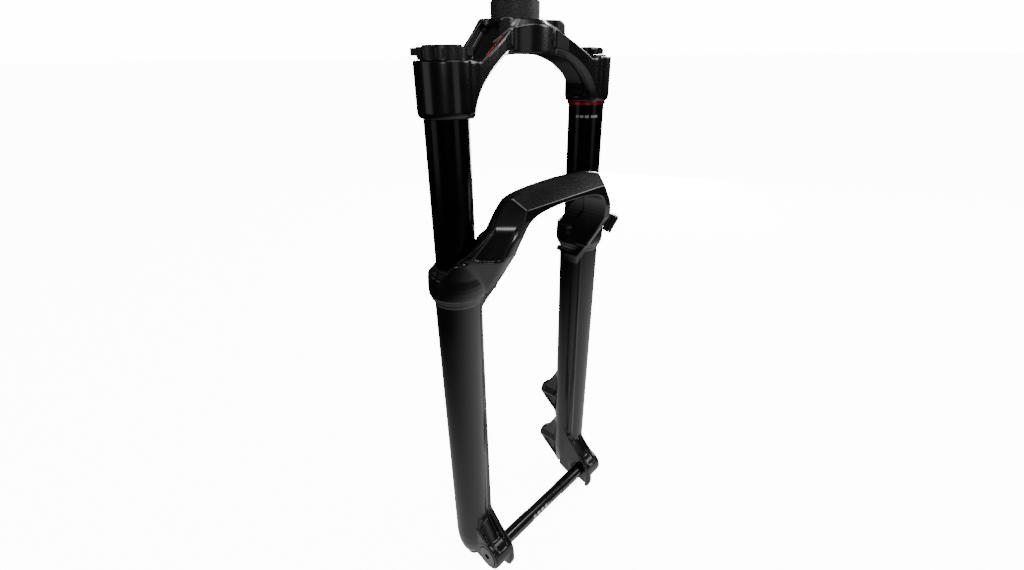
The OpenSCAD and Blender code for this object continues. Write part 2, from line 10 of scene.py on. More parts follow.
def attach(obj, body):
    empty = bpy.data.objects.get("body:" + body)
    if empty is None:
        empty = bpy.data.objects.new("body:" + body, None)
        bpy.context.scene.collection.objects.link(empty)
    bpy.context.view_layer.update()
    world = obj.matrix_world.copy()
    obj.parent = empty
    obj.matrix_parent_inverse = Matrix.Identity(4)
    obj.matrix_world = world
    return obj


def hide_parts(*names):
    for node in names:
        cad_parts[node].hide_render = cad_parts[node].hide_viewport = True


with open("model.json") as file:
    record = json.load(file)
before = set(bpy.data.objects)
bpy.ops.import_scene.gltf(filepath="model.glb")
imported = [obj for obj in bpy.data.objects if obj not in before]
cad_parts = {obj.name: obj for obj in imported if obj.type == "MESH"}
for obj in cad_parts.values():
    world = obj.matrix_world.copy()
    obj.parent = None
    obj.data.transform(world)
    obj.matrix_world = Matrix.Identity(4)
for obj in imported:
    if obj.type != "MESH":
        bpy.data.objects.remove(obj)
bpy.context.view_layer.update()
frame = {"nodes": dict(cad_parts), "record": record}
MM = 0.001

# ---------------------------------------------------------------- camera
AZ, EL, ROLL = (math.radians(a) for a in (-46.38, 25.80, -0.64))
back = Vector((math.sin(AZ) * math.cos(EL), -math.cos(AZ) * math.cos(EL), math.sin(EL)))
right = Vector((math.cos(AZ), math.sin(AZ), 0))
up = back.cross(right)
cam_right = right * math.cos(ROLL) + up * math.sin(ROLL)
cam_up = up * math.cos(ROLL) - right * math.sin(ROLL)
cam = bpy.data.objects.new("camera", bpy.data.cameras.new("camera"))
bpy.context.scene.collection.objects.link(cam)
cam.data.sensor_width = 36
cam.data.lens = 16.954
cam.data.clip_start = 0.01
cam.matrix_world = Matrix.Translation((-0.32483, -0.30266, -0.0233)) @ Matrix(
    (cam_right, cam_up, back)).transposed().to_4x4()
bpy.context.scene.camera = cam

# ---------------------------------------------------------------- sizes, in mm, as in part.scad
LEG_X, LEG_Y = 87.5, -12.0
AXLE_Y, AXLE_Z = -43.0, -518.0
COLLAR_TOP, COLLAR_BOTTOM = -188.5, -213.5
LEG_BOTTOM = -536.0
BOSS_TOP, BOSS_BOTTOM = -28.0, -66.5
STANCHION_R = 17.0


# ---------------------------------------------------------------- distance fields
def smin(a, b, k):
    """Union of two fields, with a fillet about k wide."""
    h = np.maximum(k - np.abs(a - b), 0) / k
    return np.minimum(a, b) - h * h * k / 4


def smax(a, b, k):
    """Intersection of two fields, with its edge rounded about k wide."""
    return -smin(-a, -b, k)


def cut(a, b, k=1.0):
    """Takes the second field out of the first."""
    return smax(a, -b, k)


def slab(t, low, high):
    """Distance to the layer between two values of one coordinate."""
    return np.abs(t - (low + high) / 2) - (high - low) / 2


def rounded(points, times=2, keep=()):
    """Cuts the corners of a closed outline, except those whose numbers are in keep."""
    pts = [(np.array(p, float), i in keep) for i, p in enumerate(points)]
    for _ in range(times):
        new = []
        for i, (p, sharp) in enumerate(pts):
            before, after = pts[i - 1][0], pts[(i + 1) % len(pts)][0]
            if sharp:
                new.append((p, True))
            else:
                new += [(p + (before - p) / 4, False), (p + (after - p) / 4, False)]
        pts = new
    return [tuple(p) for p, _ in pts]


class Outline:
    """Signed distance to a closed outline in a plane, read from a table."""

    def __init__(self, points, step=0.4, pad=12.0):
        pts = np.array(points, float)
        self.low = pts.min(0) - pad
        self.step = step
        count = np.ceil((pts.max(0) + pad - self.low) / step).astype(int) + 1
        u = self.low[0] + step * np.arange(count[0])[:, None]
        v = self.low[1] + step * np.arange(count[1])[None, :]
        best = np.full((count[0], count[1]), 1e12)
        inside = np.zeros(best.shape, bool)
        for (ax, ay), (bx, by) in zip(pts, np.roll(pts, 1, 0)):
            ex, ey = bx - ax, by - ay
            wx, wy = u - ax, v - ay
            t = np.clip((wx * ex + wy * ey) / max(ex * ex + ey * ey, 1e-12), 0, 1)
            best = np.minimum(best, (wx - ex * t) ** 2 + (wy - ey * t) ** 2)
            above, below, side = v >= ay, v < by, ex * wy > ey * wx
            inside ^= (above & below & side) | (~above & ~below & ~side)
        self.table = (np.sqrt(best) * np.where(inside, -1, 1)).astype(np.float32)
        self.top = np.array(self.table.shape) - 1.001

    def __call__(self, u, v):
        s = np.clip((u - self.low[0]) / self.step, 0, self.top[0])
        t = np.clip((v - self.low[1]) / self.step, 0, self.top[1])
        i, j = s.astype(int), t.astype(int)
        s, t = s - i, t - j
        tab = self.table
        near = ((tab[i, j] * (1 - t) + tab[i, j + 1] * t) * (1 - s)
                + (tab[i + 1, j] * (1 - t) + tab[i + 1, j + 1] * t) * s)
        gone_u = np.maximum(np.maximum(self.low[0] - u, u - self.low[0] - self.top[0] * self.step), 0)
        gone_v = np.maximum(np.maximum(self.low[1] - v, v - self.low[1] - self.top[1] * self.step), 0)
        return near + np.hypot(gone_u, gone_v)


def cylinder(x, y, z, start, end, r, edge=0.8):
    """A round bar between two points, with rounded edges."""
    start, end = np.array(start, float), np.array(end, float)
    length = np.linalg.norm(end - start)
    axis = (end - start) / length
    px, py, pz = x - start[0], y - start[1], z - start[2]
    t = px * axis[0] + py * axis[1] + pz * axis[2]
    across = np.sqrt(np.maximum(px * px + py * py + pz * pz - t * t, 0))
    return smax(across - r, slab(t, 0, length), edge)


def in_face(x, y, z, face):
    """Coordinates on a tilted face: distance from it, then along it level and upwards."""
    origin, tilt, turn = face
    b, c = math.radians(tilt), math.radians(turn)
    n = (math.cos(b) * math.cos(c), math.cos(b) * math.sin(c), -math.sin(b))
    u = (-math.sin(c), math.cos(c), 0)
    w = (math.sin(b) * math.cos(c), math.sin(b) * math.sin(c), math.cos(b))
    p = (x - origin[0], y - origin[1], z - origin[2])
    return [p[0] * d[0] + p[1] * d[1] + p[2] * d[2] for d in (n, u, w)]


def spaced(*parts):
    """Grid lines: (from, to, step) for each stretch."""
    out = []
    for a, b, step in parts:
        n = max(1, int(round((b - a) / step)))
        out += [a + (b - a) * i / n for i in range(n)]
    return np.array(out + [parts[-1][1]])


def surface(name, field, xs, ys, zs, most=180000):
    """A closed mesh of a distance field, whose points are then moved exactly onto it."""
    block = 5
    shape = [len(a) for a in (xs, ys, zs)]
    values = np.empty(shape, np.float32)
    starts = [np.arange(0, n, block) for n in shape]
    cells = np.stack(np.meshgrid(*starts, indexing="ij"), -1).reshape(-1, 3)
    ends = np.minimum(cells + block, np.array(shape) - 1)
    lows = np.stack([a[cells[:, k]] for k, a in enumerate((xs, ys, zs))], -1)
    highs = np.stack([a[ends[:, k]] for k, a in enumerate((xs, ys, zs))], -1)
    middle = (lows + highs) / 2
    reach = np.linalg.norm(highs - lows, axis=1) / 2
    rough = field(*middle.T)
    for c, v in zip(cells, rough):
        values[c[0]:c[0] + block, c[1]:c[1] + block, c[2]:c[2] + block] = v
    near = cells[np.abs(rough) < reach * 1.15 + 1.0]
    offsets = np.stack(np.meshgrid(*[np.arange(block)] * 3, indexing="ij"), -1).reshape(-1, 3)
    index = (near[:, None, :] + offsets[None]).reshape(-1, 3)
    index = index[(index < np.array(shape)).all(1)]
    for part in np.array_split(index, max(1, len(index) // 400000)):
        i, j, k = part.T
        values[i, j, k] = field(xs[i], ys[j], zs[k])
    grid = openvdb.FloatGrid(background=8.0)
    grid.copyFromArray(np.clip(values, -8, 8))
    points, tris, quads = grid.convertToPolygons(isovalue=0.0, adaptivity=0.0)
    p = np.stack([np.interp(points[:, k], np.arange(len(a)), a)
                  for k, a in enumerate((xs, ys, zs))]).astype(float)
    for _ in range(3):
        f, g = gradient(field, p)
        p = p - np.clip(f / np.maximum((g * g).sum(0), 0.2), -0.8, 0.8) * g
    mesh = bpy.data.meshes.new(name)
    mesh.from_pydata((p.T * MM).tolist(), [], tris.tolist() + quads.tolist())
    piece = bpy.data.objects.new(name, mesh)
    bpy.context.scene.collection.objects.link(piece)
    count = len(tris) + 2 * len(quads)
    if count > most:
        thin = piece.modifiers.new("thin", "DECIMATE")
        thin.ratio = most / count
        bake_modifiers(piece)
        mesh = piece.data
    mesh.validate()
    co = np.empty(len(mesh.vertices) * 3, np.float32)
    mesh.vertices.foreach_get("co", co)
    p = co.reshape(-1, 3).T.astype(float) / MM
    f, g = gradient(field, p)
    normals = g / np.maximum(np.linalg.norm(g, axis=0), 1e-6)
    face = mesh.polygons[len(mesh.polygons) // 2]
    if np.dot(face.normal, normals[:, face.vertices[0]]) < 0:
        mesh.flip_normals()
    mesh.shade_smooth()
    mesh.normals_split_custom_set_from_vertices(normals.T.tolist())
    return piece


def gradient(field, p):
    """The field and its slope at some points."""
    h = 0.12
    f = field(*p)
    g = np.empty_like(p)
    for k in range(3):
        ahead, behind = p.copy(), p.copy()
        ahead[k] += h
        behind[k] -= h
        g[k] = (field(*ahead) - field(*behind)) / (2 * h)
    return f, g


def bake_modifiers(piece):
    """Turns a piece's modifiers into plain mesh."""
    deps = bpy.context.evaluated_depsgraph_get()
    mesh = bpy.data.meshes.new_from_object(piece.evaluated_get(deps))
    piece.modifiers.clear()
    piece.data = mesh


# ---------------------------------------------------------------- crown
CROWN_FRONT = Outline(rounded([
    (-1, 6), (33, 6), (34, 0), (37.5, -1.5), (66.5, -24), (69, -28), (LEG_X + 21, -28),
    (LEG_X + 21, -66.5), (74, -66.5), (72, -61), (68.5, -53), (63, -45.5), (53.5, -37), (41, -29.5),
    (32, -26), (22, -24.5), (-1, -24.5)], 1, keep=(0, 1, 2, 3, 4, 5, 6, 7, 8, 16)))
CROWN_ARMS = Outline(rounded([
    (-1, 24), (12, 23.5), (24, 13), (42, 3), (66, -3), (LEG_X - 4, 3.5), (LEG_X, -12),
    (LEG_X - 4, -32), (66, -31.5), (42, -27.5), (27, -22), (14, -16), (-1, -16)], 1, keep=(0, 12)))
TOP_POCKET = Outline(rounded([
    (32, -4), (36, -14), (40, -22.5), (62, -28), (67, -22), (66, -8), (50, -3), (36, 0)], 1))
POCKET_FLOOR = Outline([(30, 8), (30, -3), (38, -9), (64, -31), (72, -24), (72, 8)])
UNDER_POCKET = Outline(rounded([(30, -29), (42, -28.5), (61, -43), (69, -52), (70, -62), (40, -64)], 1))
FRONT_LOW = Outline([(17, 6), (20, -4.0), (26, -6.0), (67, -28.5), (72, -28), (72, 6)])
SOCKET_FRONT_Y, SOCKET_FRONT_R = 16.5, 45.0


def crown_field(x, y, z):
    ax = np.abs(x)
    socket = np.hypot(x, y)
    boss = np.hypot(ax - LEG_X, y - LEG_Y)
    plan, front_view = CROWN_ARMS(ax, y), CROWN_FRONT(ax, z)
    arms = smax(plan, front_view, 3.0)
    # a flat bevel along the lower front edge
    lower = np.where((z < -13 - 0.667 * (ax - 33)) & (y < -8), front_view, -20.0)
    arms = smax(arms, (plan + lower + 4.2) * 0.707, 0.8)
    # the front of the arms is lower than the back
    arms = cut(arms, smax(FRONT_LOW(ax, z), y + 21.0, 1.0), 1.6)
    # the socket is round behind and a wide shallow curve in front
    front = smax(np.hypot(x, y - SOCKET_FRONT_Y) - SOCKET_FRONT_R, ax - 29, 3.0)
    middle = smax(smin(socket - 27, smax(front, y + 8, 6.0), 3.0), slab(z, -24.5, 0), 1.6)
    # bevel round the top of the socket
    middle = smax(middle, (socket - 23.0) * 0.62 + z * 0.785, 0.9)
    d = smin(arms, middle, 3.0)
    ends = smax(boss - 21, slab(z, BOSS_BOTTOM, BOSS_TOP), 1.4)
    ends = smax(ends, (boss - 21) * 0.7 + (BOSS_BOTTOM + 1.6 - z) * 0.7, 3.0)
    d = smin(d, ends, 3.0)
    # the lightening pockets
    d = cut(d, smax(TOP_POCKET(ax, y), POCKET_FLOOR(ax, z), 2.0), 1.0)
    d = cut(d, smax(UNDER_POCKET(ax, z), slab(y, -22.5, 1.5), 3.0), 1.6)
    d = smax(d, z, 0.8)
    d = cut(d, socket - 19.05, 0.5)
    d = cut(d, np.maximum(boss - STANCHION_R, -z - 80), 0.5)
    return d


# ---------------------------------------------------------------- lower legs
def leg_r(z):
    """The leg tapers slightly from the collar down."""
    return 20.2 - 0.0083 * (COLLAR_BOTTOM - z)


LEG_OUT = Outline([
    (-40, COLLAR_TOP), (21.4, COLLAR_TOP), (22.2, COLLAR_TOP - 0.5), (23.6, COLLAR_TOP - 4.2),
    (24.3, COLLAR_TOP - 8), (24.5, COLLAR_TOP - 12), (24.3, COLLAR_TOP - 16), (23.4, COLLAR_TOP - 21),
    (22.9, COLLAR_TOP - 22.6), (22.2, COLLAR_TOP - 23.4), (21.3, COLLAR_TOP - 23.8),
    (21.1, COLLAR_BOTTOM - 1), (20.4, COLLAR_BOTTOM - 2.4), (leg_r(-216), -216), (leg_r(-503), -503),
    (17.4, -508), (16.8, -514), (15.6, -520), (14.0, -526), (11.9, -531), (10.2, -534.2),
    (9.0, LEG_BOTTOM), (-40, LEG_BOTTOM)], pad=26.0)
LEG_IN = Outline([
    (-40, COLLAR_TOP + 6), (20.6, COLLAR_TOP + 6), (20.6, COLLAR_TOP - 11.0), (18.4, COLLAR_TOP - 19.0),
    (17.4, COLLAR_TOP - 24.0), (17.3, -408), (15.0, -422), (15.0, -502), (8, -512), (4.3, -512),
    (4.3, -520), (8.6, -520), (8.6, -541), (-40, -541)], pad=26.0)
ARCH_FRONT = Outline(rounded([
    (-2, -120.5), (30, -121.5), (56, -124.0), (66.5, -129.5), (84, -157), (98, -170), (111, -181),
    (113, -188), (113, -202), (109, -210), (100, -234), (67, -234), (66, -198), (64.5, -178),
    (60.5, -160.5), (52.5, -147.5), (44, -142.0), (24, -139.3), (-2, -138.6)], 2, keep=(0, 18)), pad=26.0)
ARCH_SIDE = Outline([
    (-45.0, -121.5), (-61.5, -134.8), (-62.7, -143), (-62, -155.5), (-58.5, -169.5), (-47.5, -188.5),
    (-33, -210.5), (-26.5, -219.5), (-20, -234), (-8, -234), (-8, -184), (-24, -178), (-34, -167),
    (-39, -149), (-42, -120.0)], pad=26.0)
INNER_WALL = Outline([
    (-38, -150), (-27, -154), (-18, -161), (-9, -172), (-4, -184), (-4, -205), (-38, -205)], pad=26.0)
# the three flat faces down the outside of the arch, each as a point, a tilt and a turn
FACES = (((54.8, -61, -134.8), -24.5, -45.4),
         ((67.1, -62, -155.3), -6.9, -45),
         ((73.4, -47.5, -188.5), 25.5, -45))
OUTER_RECESS = Outline(rounded([
    (-3, 14), (3.6, 0), (9.8, -14), (11.5, -18.5), (36, -17.5), (30, -10), (20, 2), (11, 15)], 1))
CHEEK = Outline(rounded([
    (36, 84), (29, 62), (22.5, 47), (-11.5, 10), (-17, -3), (-17.5, -14), (-14, -22.5), (-7, -23.5),
    (8, -20), (20, -17.5), (32, -12)], 1, keep=(0, 10)))
WEB = Outline(rounded([
    (34, 62), (22, 48), (8, 33), (-7, 12), (-14.5, 3), (-15, -6), (-9, -14), (8, -17.5),
    (20, -16.5), (32, -10)], 1, keep=(0, 9)))
RIB = Outline(rounded([
    (33, 51), (21.5, 43), (15.5, 31), (-11, 9), (-15.5, -2), (-11, -12), (-2, -16), (10, -16), (20, -13),
    (31, -7)], 1, keep=(0, 9)))
POCKET = Outline(rounded([(27, 70), (19, 45), (9.5, 30), (-1, 13.5), (-14, 7), (-34, 12), (-30, 70)], 1))
POST_WEB = Outline(rounded([
    (4, -388), (10, -398), (16, -408), (21, -413), (26, -416.5), (27.3, -421), (27.3, -430),
    (24, -436), (13, -444.5), (2, -453), (-6, -462), (-10, -388)], 1))
# the upper brake post, and how far the lower one is below it
POST_X, POST_Z, POST_SPACING = 81, -427, 74.2
AXLE_R = 7.5
GUIDE = ((80.2, -47.7, -178.2), 25.5, -45)


def ridge(ax, y, z):
    """The sharp ridge down the inner front of each leg."""
    t = np.clip((z + 231) / -237, 0, 1)
    tip_x, tip_y = 73.4 - 0.6 * t, -25.4 - 0.9 * t
    root_x, root_y = 82.0, -17.0
    ex, ey = root_x - tip_x, root_y - tip_y
    s = np.clip(((ax - tip_x) * ex + (y - tip_y) * ey) / (ex * ex + ey * ey), 0, 1)
    d = np.hypot(ax - tip_x - ex * s, y - tip_y - ey * s) - (0.7 + 8.0 * s)
    return smax(d, slab(z, -482, -214), 6.0)


def arch_field(ax, y, z):
    front = ARCH_FRONT(ax, z)
    d = smax(front, ARCH_SIDE(y, z), 1.6)
    # the inner wall reaches further back, beside the stanchion
    d = smin(d, smax(smax(front, ax - 67.0, 1.5), INNER_WALL(y, z), 1.6), 2.0)
    for face, k in zip(FACES, (1.0, 2.5, 2.5)):
        d = smax(d, in_face(ax, y, z, face)[0], k)
    n, u, w = in_face(ax, y, z, FACES[1])
    d = cut(d, smax(OUTER_RECESS(u, w), -n - 2.6, 1.0), 0.9)
    return d


def dropout_field(ax, y, z):
    py, pz = y - AXLE_Y, z - AXLE_Z
    from_axle = np.hypot(py, pz)
    cheek = smax(CHEEK(py, pz), slab(ax, 70, 77), 2.4)
    web = smax(WEB(py, pz), slab(ax, 74, 92), 1.0)
    lean = 0.05 * np.maximum(pz, 0)
    rib = smax(RIB(py, pz), slab(ax - lean, 90.0, 95.2), 2.0)
    d = smin(smin(web, cheek, 1.2), rib, 1.2)
    d = smin(d, smax(from_axle - 15.8, slab(ax, 70, 96), 1.8), 1.5)
    # the pocket between the cheek and the rib: a ramp below, scallops above
    floor = 0.45 * np.hypot(ax - 83.2, 2.0)
    pocket = smax(POCKET(py - floor * 0.8, pz - floor * 0.3), slab(ax, 76.8, 89.8), 2.2)
    pocket = smax(pocket, 14.5 - from_axle, 1.0)
    return cut(d, pocket, 0.9)


def lowers_field(x, y, z):
    ax = np.abs(x)
    r = np.hypot(ax - LEG_X, y - LEG_Y)
    d = LEG_OUT(r, z)
    # the collar's rim rises in front of the seal, into the arch
    rise = 13.5 * np.clip((LEG_Y - 6.5 - y) / 10.0, 0, 1)
    d = smin(d, smax(r - 24.2, slab(z, COLLAR_BOTTOM + 6, COLLAR_TOP + rise), 1.5), 2.0)
    d = smin(d, arch_field(ax, y, z), 2.4)
    d = smin(d, ridge(ax, y, z), 1.6)
    d = smin(d, dropout_field(ax, y, z), 1.5)
    for drop in (0, POST_SPACING):
        level = POST_Z - drop
        web = POST_WEB(y, z + drop)
        post = smax(web, slab(x, POST_X - 5.2, POST_X + 5.2), 3.0)
        # the web is hollowed from both sides, with a wall left in the middle
        post = cut(post, smax(web + 3.4, 3.4 - np.abs(x - POST_X), 1.4), 1.0)
        post = smin(post, cylinder(x, y, z, (POST_X, 4, level), (POST_X, 27, level), 6.5), 2.0)
        d = smin(d, post, 3.5)
        d = cut(d, cylinder(x, y, z, (POST_X, 9, level), (POST_X, 29, level), 2.5, 0.3), 0.4)
    # a small boss at the back of the left leg
    d = smin(d, cylinder(x, y, z, (79, 2, -222), (79, 10, -222), 3.0), 1.5)
    # the seat of the hose guide, with its screw hole
    n, u, w = in_face(x, y, z, GUIDE)
    d = smin(d, smax(np.hypot(u - 9.5, w) - 5, slab(n, -4, 2.5), 0.8), 1.2)
    d = cut(d, smax(np.hypot(u - 9.5, w) - 2.0, slab(n, -6.5, 5), 0.3), 0.4)
    # inside: the stanchions' way, the hub's end caps, the axle
    d = cut(d, LEG_IN(r, z), 0.5)
    d = cut(d, np.maximum(r - 19.2, COLLAR_TOP + 0.5 - z), 0.8)
    d = cut(d, smax(r - 21.9, slab(z, COLLAR_TOP, COLLAR_TOP + 6.4), 0.5), 0.5)
    from_axle = np.hypot(y - AXLE_Y, z - AXLE_Z)
    below = np.maximum(np.abs(y - AXLE_Y) - 11, z - AXLE_Z)
    d = cut(d, np.maximum(np.minimum(from_axle - 11, below), ax - 75), 0.6)
    d = cut(d, from_axle - (AXLE_R + 0.05), 0.4)
    d = cut(d, np.maximum(from_axle - 11.5, x + 90), 0.5)
    return d


def make_lowers():
    step = 1.0
    xs = spaced((-116, -60, step), (-60, 60, 2.0), (60, 116, step))
    ys = spaced((-68, 32, step))
    zs = spaced((-541, -392, step), (-392, -240, 3.0), (-240, -116, step))
    return surface("lower_legs_cast", lowers_field, xs, ys, zs)


def make_crown():
    fine = 0.85
    xs = spaced((-112, 112, fine))
    ys = spaced((-37, 31, fine))
    zs = spaced((-70, 8, fine))
    return surface("crown_forged", crown_field, xs, ys, zs, 120000)


def accent_line(name, side):
    """The thin red line along the front and inner edges of the pocket in one arm of the crown."""
    corners = [(35.5, -12.0), (37.2, -22.6), (63.0, -29.2)]
    plan = []
    for (ax, ay), (bx, by), n in zip(corners, corners[1:], (8, 30)):
        plan += [(ax + (bx - ax) * i / n, ay + (by - ay) * i / n) for i in range(n)]
    heights = np.linspace(3, -32, 351)
    tops = []
    for x, y in plan:
        inside = crown_field(np.full(351, x), np.full(351, y), heights) < 0
        tops.append(heights[np.argmax(inside)])
    tops = np.array(tops)
    along = np.arange(30)
    tops[8:] = np.polyval(np.polyfit(along, tops[8:], 1), along)
    tops[:8] = np.linspace(tops[0], tops[8], 8, endpoint=False)
    p = np.array([(side * x, y, z + 0.1) for (x, y), z in zip(plan, tops)]).T
    ring, line_r = 8, 0.25
    turns = [2 * math.pi * k / ring for k in range(ring)]
    points, faces = [], []
    count = p.shape[1]
    for i in range(count):
        here = Vector(p[:, i])
        ahead = Vector(p[:, min(i + 1, count - 1)]) - Vector(p[:, max(i - 1, 0)])
        across = ahead.cross(Vector((0, 0, 1))).normalized()
        over = across.cross(ahead).normalized()
        points += [(here + (across * math.cos(t) + over * math.sin(t)) * line_r) * MM for t in turns]
        if i:
            for k in range(ring):
                a, b = (i - 1) * ring + k, (i - 1) * ring + (k + 1) % ring
                faces.append((a, b, b + ring, a + ring))
    faces += [tuple(range(ring))[::-1], tuple(range((count - 1) * ring, count * ring))]
    mesh = bpy.data.meshes.new(name)
    mesh.from_pydata(points, [], faces)
    mesh.shade_smooth()
    piece = bpy.data.objects.new(name, mesh)
    bpy.context.scene.collection.objects.link(piece)
    return piece


# ---------------------------------------------------------------- materials
def material(name, color, rough, metallic=0.0, coat=0.0, specular=0.5, bump=0.0, bump_scale=900.0,
             vary=0.3, vary_scale=40.0, fleck=None, rough_vary=0.06):
    """Paint, metal, rubber or plastic: tone, gloss and surface that vary as on a real piece."""
    mat = bpy.data.materials.new(name)
    mat.use_nodes = True
    nodes, links = mat.node_tree.nodes, mat.node_tree.links
    shader = nodes["Principled BSDF"]
    place = nodes.new("ShaderNodeTexCoord")
    patches = nodes.new("ShaderNodeTexNoise")
    patches.inputs["Scale"].default_value = vary_scale
    patches.inputs["Detail"].default_value = 4
    links.new(place.outputs["Object"], patches.inputs["Vector"])
    ramp = nodes.new("ShaderNodeValToRGB")
    ramp.color_ramp.elements[0].position, ramp.color_ramp.elements[1].position = 0.3, 0.7
    ramp.color_ramp.elements[0].color = [c * (1 - vary) for c in color] + [1]
    ramp.color_ramp.elements[1].color = [c * (1 + vary) for c in color] + [1]
    links.new(patches.outputs["Fac"], ramp.inputs["Fac"])
    tone = ramp.outputs["Color"]
    fine = nodes.new("ShaderNodeTexNoise")
    fine.inputs["Scale"].default_value = bump_scale
    fine.inputs["Detail"].default_value = 3
    links.new(place.outputs["Object"], fine.inputs["Vector"])
    if fleck:
        dots = nodes.new("ShaderNodeValToRGB")
        dots.color_ramp.elements[0].position, dots.color_ramp.elements[1].position = 0.45, 0.62
        dots.color_ramp.elements[0].color = (0, 0, 0, 1)
        dots.color_ramp.elements[1].color = (1, 1, 1, 1)
        links.new(fine.outputs["Fac"], dots.inputs["Fac"])
        mix = nodes.new("ShaderNodeMix")
        mix.data_type = "RGBA"
        links.new(dots.outputs["Color"], mix.inputs["Factor"])
        links.new(tone, mix.inputs["A"])
        mix.inputs["B"].default_value = (*fleck, 1)
        tone = mix.outputs["Result"]
    links.new(tone, shader.inputs["Base Color"])
    gloss = nodes.new("ShaderNodeMapRange")
    gloss.inputs["To Min"].default_value = max(rough - rough_vary, 0.03)
    gloss.inputs["To Max"].default_value = rough + rough_vary
    links.new(patches.outputs["Fac"], gloss.inputs["Value"])
    links.new(gloss.outputs["Result"], shader.inputs["Roughness"])
    if bump:
        relief = nodes.new("ShaderNodeBump")
        relief.inputs["Strength"].default_value = bump
        relief.inputs["Distance"].default_value = 0.00002
        links.new(fine.outputs["Fac"], relief.inputs["Height"])
        links.new(relief.outputs["Normal"], shader.inputs["Normal"])
    shader.inputs["Metallic"].default_value = metallic
    shader.inputs["Specular IOR Level"].default_value = specular
    shader.inputs["Coat Weight"].default_value = coat
    shader.inputs["Coat Roughness"].default_value = 0.06
    return mat


mats = {
    "steerer_black": material("steerer_anodised", (0.006, 0.006, 0.0065), 0.3, bump=0.3,
                              bump_scale=1500),
    "crown_black": material("crown_paint", (0.006, 0.006, 0.007), 0.24, coat=0.2, specular=0.4,
                            bump=0.08,
                            bump_scale=700),
    "stanchion_black": material("stanchion_anodised", (0.0015, 0.0015, 0.002), 0.2, specular=0.22,
                                bump=0.03,
                                bump_scale=1200),
    "lowers_black": material("leg_paint", (0.006, 0.006, 0.0065), 0.22, coat=0.2, bump=0.08,
                             bump_scale=650),
    "red_anodised": material("red_anodised", (0.42, 0.012, 0.035), 0.3, metallic=0.7, bump=0.1),
    "cap_black": material("cap_anodised", (0.02, 0.02, 0.022), 0.2, metallic=0.4, bump=0.08),
    "knob_black": material("knob_anodised", (0.018, 0.018, 0.02), 0.3, metallic=0.3, bump=0.2,
                           bump_scale=1600),
    "silver_aluminium": material("bare_aluminium", (0.6, 0.61, 0.63), 0.3, metallic=1.0, vary=0.08,
                                 bump=0.1),
    "gold_anodised": material("gold_anodised", (0.6, 0.4, 0.12), 0.3, metallic=1.0, vary=0.1, bump=0.1),
    "bright_steel": material("bright_steel", (0.62, 0.63, 0.65), 0.18, metallic=1.0, vary=0.06,
                             bump=0.05),
    "valve_brass": material("valve_brass", (0.62, 0.45, 0.2), 0.3, metallic=1.0, vary=0.1, bump=0.08),
    "spacer_red": material("spacer_plastic", (0.4, 0.03, 0.04), 0.5, vary=0.1, bump=0.1),
    "seal_rubber": material("seal_rubber", (0.028, 0.028, 0.03), 0.55, bump=0.35, bump_scale=2200),
    "bushing_bronze": material("bushing_bronze", (0.4, 0.3, 0.15), 0.45, metallic=0.8, vary=0.15,
                               bump=0.15),
    "foam_grey": material("foam", (0.22, 0.2, 0.16), 0.9, bump=0.8, bump_scale=1400),
    "black_steel": material("black_steel", (0.03, 0.03, 0.033), 0.35, metallic=0.8, bump=0.1),
    "guide_plastic": material("guide_plastic", (0.012, 0.012, 0.013), 0.35, bump=0.2, bump_scale=1800),
    "axle_black": material("axle_anodised", (0.006, 0.006, 0.007), 0.16, coat=0.4, specular=1.0,
                           bump=0.03,
                            bump_scale=1200),
}


def nodes_math(tree, kind, a, b=None):
    """One Math node on sockets or numbers."""
    node = tree.nodes.new("ShaderNodeMath")
    node.operation = kind
    for i, value in enumerate((a, b)):
        if value is None:
            continue
        if isinstance(value, (int, float)):
            node.inputs[i].default_value = value
        else:
            tree.links.new(value, node.inputs[i])
    return node.outputs[0]


def print_bars(mat, along, start, end, pitch, fill, across, centre, half, facing, light):
    """Prints a row of plain light bars between two places on a round piece.

    along and across are the axes 0, 1 or 2; facing is a third axis and the sign that it has there.
    """
    tree = mat.node_tree
    shader = tree.nodes["Principled BSDF"]
    place = tree.nodes.new("ShaderNodeTexCoord")
    axes = tree.nodes.new("ShaderNodeSeparateXYZ")
    tree.links.new(place.outputs["Object"], axes.inputs[0])
    u, v, w = axes.outputs[along], axes.outputs[across], axes.outputs[facing[0]]
    repeats = nodes_math(tree, "DIVIDE", nodes_math(tree, "SUBTRACT", u, start), pitch)
    steps = nodes_math(tree, "FRACT", repeats)
    mask = nodes_math(tree, "LESS_THAN", steps, fill)
    mask = nodes_math(tree, "MULTIPLY", mask, nodes_math(tree, "GREATER_THAN", u, start))
    mask = nodes_math(tree, "MULTIPLY", mask, nodes_math(tree, "LESS_THAN", u, end))
    off = nodes_math(tree, "ABSOLUTE", nodes_math(tree, "SUBTRACT", v, centre))
    mask = nodes_math(tree, "MULTIPLY", mask, nodes_math(tree, "LESS_THAN", off, half))
    side = nodes_math(tree, "MULTIPLY", nodes_math(tree, "SUBTRACT", w, facing[1]), facing[2])
    mask = nodes_math(tree, "MULTIPLY", mask, nodes_math(tree, "GREATER_THAN", side, 0.0))
    mix = tree.nodes.new("ShaderNodeMix")
    mix.data_type = "RGBA"
    tree.links.new(mask, mix.inputs["Factor"])
    tree.links.new(shader.inputs["Base Color"].links[0].from_socket, mix.inputs["A"])
    mix.inputs["B"].default_value = (light, light, light, 1)
    tree.links.new(mix.outputs["Result"], shader.inputs["Base Color"])


